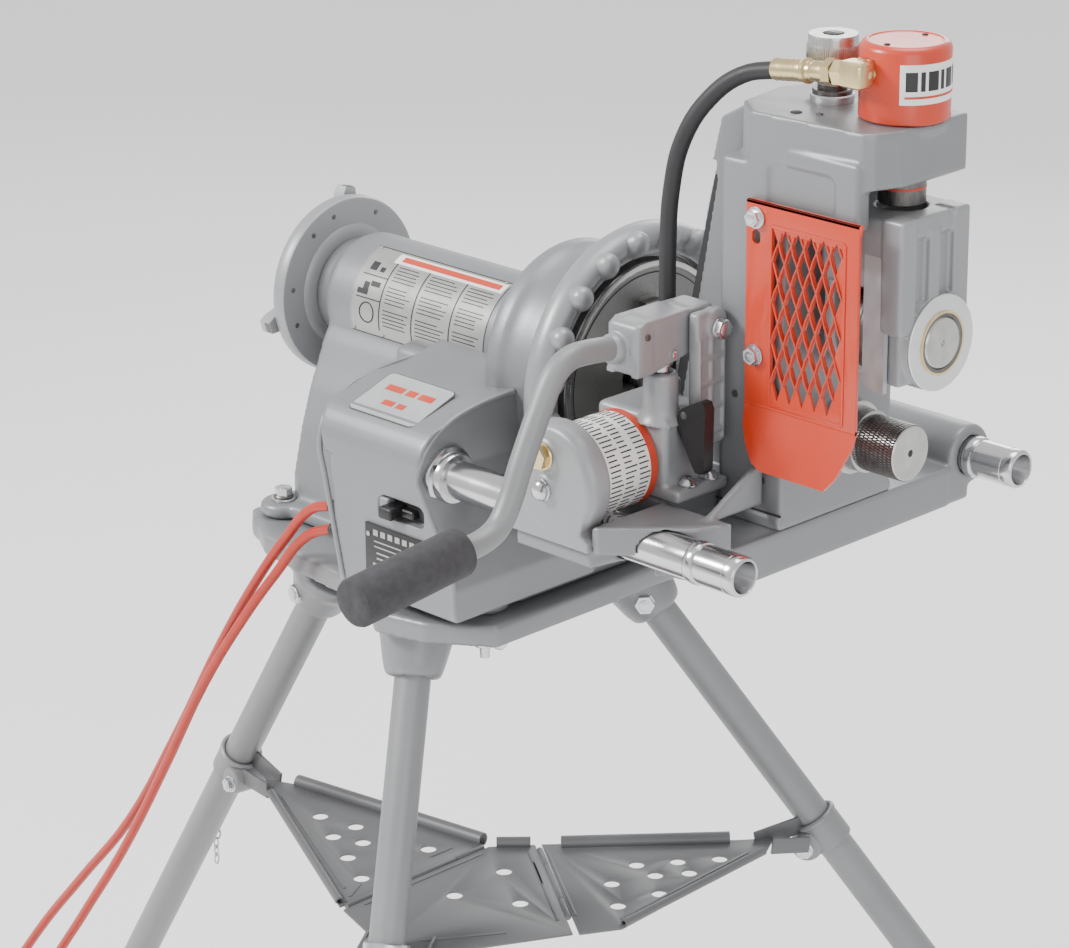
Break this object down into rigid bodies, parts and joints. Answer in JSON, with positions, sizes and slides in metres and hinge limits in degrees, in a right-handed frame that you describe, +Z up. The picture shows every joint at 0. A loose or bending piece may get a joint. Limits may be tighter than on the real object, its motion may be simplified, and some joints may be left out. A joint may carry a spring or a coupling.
{
  "type": "pipe power drive with roll groover",
  "caption": "Pipe power drive on a folding tripod stand, set up with a hydraulic roll groover, a hand pump and support rails.",
  "frame": {"origin": "on the floor under the middle of the machine's outline", "axes": "+X along the spindle from the drive to the groover, -Y the operator's side, +Z up"},
  "size_m": [1.1069, 0.8851, 1.242],
  "materials": {
    "cast_paint": "silver-grey satin paint on rough castings",
    "tube_paint": "grey satin paint on tube and sheet",
    "orange_paint": "orange-red gloss paint",
    "black_plate": "black and silver printed plates",
    "steel": "machined steel",
    "dark_steel": "dark oiled steel",
    "chrome": "bright plated",
    "brass": "clean brass",
    "alu": "smooth",
    "rubber": "black rubber",
    "foam": "dark foam",
    "plastic": "black moulded",
    "red_cord": "red-orange cord jacket",
    "label": "white printed band"
  },
  "bodies": {
    "machine": {"stand_top": "cast_paint", "leg_front": "tube_paint", "stand_pins": "steel", "hold_down": "steel", "drive_housing": "cast_paint", "hood": "cast_paint", "face_plates": "black_plate", "motor_stator": "dark_steel", "rail_near": "chrome", "rail_far": "chrome", "groover_base": "cast_paint", "groover_frame": "cast_paint", "ram_cylinder": "orange_paint", "guard": "orange_paint", "guard_bolts": "steel", "hose_fitting": "brass", "hose": "rubber", "pump_block": "cast_paint", "reservoir": "label", "pump_cap": "cast_paint", "pump_plugs": "brass", "cord_gland": "rubber", "mains_cord": "red_cord", "mains_coil": "red_cord", "mains_plug": "rubber", "foot_cord": "red_cord", "foot_coil": "red_cord", "foot_switch": "plastic"},
    "left_leg": {"leg_left": "tube_paint", "collar_left": "cast_paint"},
    "right_leg": {"leg_right": "tube_paint", "collar_right": "cast_paint"},
    "tray_middle": {"tray_center": "tube_paint"},
    "tray_left_wing": {"tray_left": "tube_paint"},
    "tray_right_wing": {"tray_right": "tube_paint"},
    "spindle_set": {"spindle": "steel", "spindle_gear": "steel", "chuck_body": "dark_steel"},
    "chuck_wheel": {"handwheel": "cast_paint"},
    "jaw_a": {"chuck_jaw_1": "dark_steel"},
    "jaw_b": {"chuck_jaw_2": "dark_steel"},
    "jaw_c": {"chuck_jaw_3": "dark_steel"},
    "rear_scroll": {"rear_wheel": "cast_paint"},
    "rear_jaw_a": {"rear_jaw_1": "cast_paint"},
    "rear_jaw_b": {"rear_jaw_2": "cast_paint"},
    "rear_jaw_c": {"rear_jaw_3": "cast_paint"},
    "rotor": {"motor_rotor": "dark_steel"},
    "idler": {"idler_gear": "steel"},
    "switch": {"switch_lever": "plastic"},
    "ram": {"ram_piston": "dark_steel", "slide": "cast_paint", "roll_shaft": "steel"},
    "upper_roll": {"groove_roll": "dark_steel"},
    "lower_roll": {"drive_roll": "dark_steel"},
    "depth_screw": {"depth_knob": "steel"},
    "pump_lever": {"pump_handle": "cast_paint", "handle_grip": "foam"},
    "pump_plunger": {"plunger": "chrome"},
    "release": {"release_lever": "plastic"},
    "pedal": {"foot_pedal": "orange_paint"}
  },
  "joints": [
    {"name": "fold_left_leg", "type": "hinge", "parent": "machine", "child": "left_leg", "pos_m": [-0.083, -0.082, 0.64], "axis": [-0.1582, -0.9874, 0], "range_deg": [0, 35]},
    {"name": "fold_right_leg", "type": "hinge", "parent": "machine", "child": "right_leg", "pos_m": [0.145, 0.119, 0.64], "axis": [-0.6704, 0.742, 0], "range_deg": [0, 35]},
    {"name": "fold_tray_middle", "type": "hinge", "parent": "machine", "child": "tray_middle", "pos_m": [0.176, -0.243, 0.398], "axis": [0.8387, 0.5446, 0], "range_deg": [0, 8]},
    {"name": "fold_tray_left", "type": "hinge", "parent": "tray_middle", "child": "tray_left_wing", "pos_m": [0.07, -0.105, 0.399], "axis": [0, -1, 0], "range_deg": [0, 75.01]},
    {"name": "fold_tray_right", "type": "hinge", "parent": "tray_middle", "child": "tray_right_wing", "pos_m": [0.1034, 0.0151, 0.399], "axis": [-0.8236, 0.5671, 0], "range_deg": [0, 90.01]},
    {"name": "spindle_spin", "type": "hinge", "parent": "machine", "child": "spindle_set", "pos_m": [0.02, 0.045, 0.89], "axis": [1, 0, 0], "continuous": true},
    {"name": "idler_spin", "type": "hinge", "parent": "machine", "child": "idler", "pos_m": [0.13, 0.06098, 0.7994], "axis": [1, 0, 0], "continuous": true},
    {"name": "rotor_spin", "type": "hinge", "parent": "machine", "child": "rotor", "pos_m": [0.02, 0.00468, 0.7669], "axis": [1, 0, 0], "continuous": true},
    {"name": "lower_roll_spin", "type": "hinge", "parent": "machine", "child": "lower_roll", "pos_m": [0.37, 0.045, 0.89], "axis": [1, 0, 0], "continuous": true},
    {"name": "chuck_wheel_turn", "type": "hinge", "parent": "spindle_set", "child": "chuck_wheel", "pos_m": [0.21, 0.045, 0.89], "axis": [1, 0, 0], "range_deg": [0, 60]},
    {"name": "jaw_a_slide", "type": "slide", "parent": "spindle_set", "child": "jaw_a", "axis": [0, 0, 1], "range_m": [0, 0.012]},
    {"name": "jaw_b_slide", "type": "slide", "parent": "spindle_set", "child": "jaw_b", "axis": [0, -0.866, -0.5], "range_m": [0, 0.012]},
    {"name": "jaw_c_slide", "type": "slide", "parent": "spindle_set", "child": "jaw_c", "axis": [0, 0.866, -0.5], "range_m": [0, 0.012]},
    {"name": "rear_scroll_turn", "type": "hinge", "parent": "spindle_set", "child": "rear_scroll", "pos_m": [-0.185, 0.045, 0.89], "axis": [1, 0, 0], "range_deg": [0, 60]},
    {"name": "rear_jaw_a_slide", "type": "slide", "parent": "spindle_set", "child": "rear_jaw_a", "axis": [0, 0.2079, 0.9781], "range_m": [0, 0.012]},
    {"name": "rear_jaw_b_slide", "type": "slide", "parent": "spindle_set", "child": "rear_jaw_b", "axis": [0, -0.9511, -0.309], "range_m": [0, 0.012]},
    {"name": "rear_jaw_c_slide", "type": "slide", "parent": "spindle_set", "child": "rear_jaw_c", "axis": [0, 0.7431, -0.6691], "range_m": [0, 0.012]},
    {"name": "switch_turn", "type": "hinge", "parent": "machine", "child": "switch", "pos_m": [0.112, -0.151, 0.792], "axis": [0, 0, 1], "range_deg": [-18, 18]},
    {"name": "ram_stroke", "type": "slide", "parent": "machine", "child": "ram", "axis": [0, 0, -1], "range_m": [0, 0.034]},
    {"name": "upper_roll_spin", "type": "hinge", "parent": "ram", "child": "upper_roll", "pos_m": [0.497, 0.045, 0.994], "axis": [1, 0, 0], "continuous": true},
    {"name": "depth_screw_turn", "type": "hinge", "parent": "machine", "child": "depth_screw", "pos_m": [0.43, 0.04, 1.21], "axis": [0, 0, 1], "range_deg": [-180, 180]},
    {"name": "pump_lever_swing", "type": "hinge", "parent": "machine", "child": "pump_lever", "pos_m": [0.342, -0.043, 0.99], "axis": [-1, 0, 0], "range_deg": [0, 50]},
    {"name": "plunger_stroke", "type": "slide", "parent": "machine", "child": "pump_plunger", "axis": [0, 0, 1], "range_m": [0, 0.022]},
    {"name": "release_turn", "type": "hinge", "parent": "machine", "child": "release", "pos_m": [0.374, -0.074, 0.918], "axis": [0, -1, 0], "range_deg": [0, 60]},
    {"name": "pedal_press", "type": "hinge", "parent": "machine", "child": "pedal", "pos_m": [-0.142, -0.263, 0.0374], "axis": [1, 0, 0], "range_deg": [0, 7], "stiffness_Nm_per_rad": 2, "springref_deg": -8.59}
  ],
  "couplings": [
    {"joint": "fold_right_leg", "follows": "fold_left_leg", "ratio": 1},
    {"joint": "fold_tray_middle", "follows": "fold_left_leg", "ratio": 0.22857},
    {"joint": "fold_tray_left", "follows": "fold_left_leg", "ratio": 2.1429},
    {"joint": "fold_tray_right", "follows": "fold_left_leg", "ratio": 2.5714},
    {"joint": "idler_spin", "follows": "spindle_spin", "ratio": -4.75},
    {"joint": "rotor_spin", "follows": "spindle_spin", "ratio": 15.833},
    {"joint": "lower_roll_spin", "follows": "spindle_spin", "ratio": 1},
    {"joint": "plunger_stroke", "follows": "pump_lever_swing", "m_per_rad": 0.02521},
    {"joint": "jaw_a_slide", "follows": "chuck_wheel_turn", "m_per_rad": 0.011459},
    {"joint": "rear_jaw_a_slide", "follows": "rear_scroll_turn", "m_per_rad": 0.011459},
    {"joint": "jaw_b_slide", "follows": "chuck_wheel_turn", "m_per_rad": 0.011459},
    {"joint": "rear_jaw_b_slide", "follows": "rear_scroll_turn", "m_per_rad": 0.011459},
    {"joint": "jaw_c_slide", "follows": "chuck_wheel_turn", "m_per_rad": 0.011459},
    {"joint": "rear_jaw_c_slide", "follows": "rear_scroll_turn", "m_per_rad": 0.011459}
  ]
}
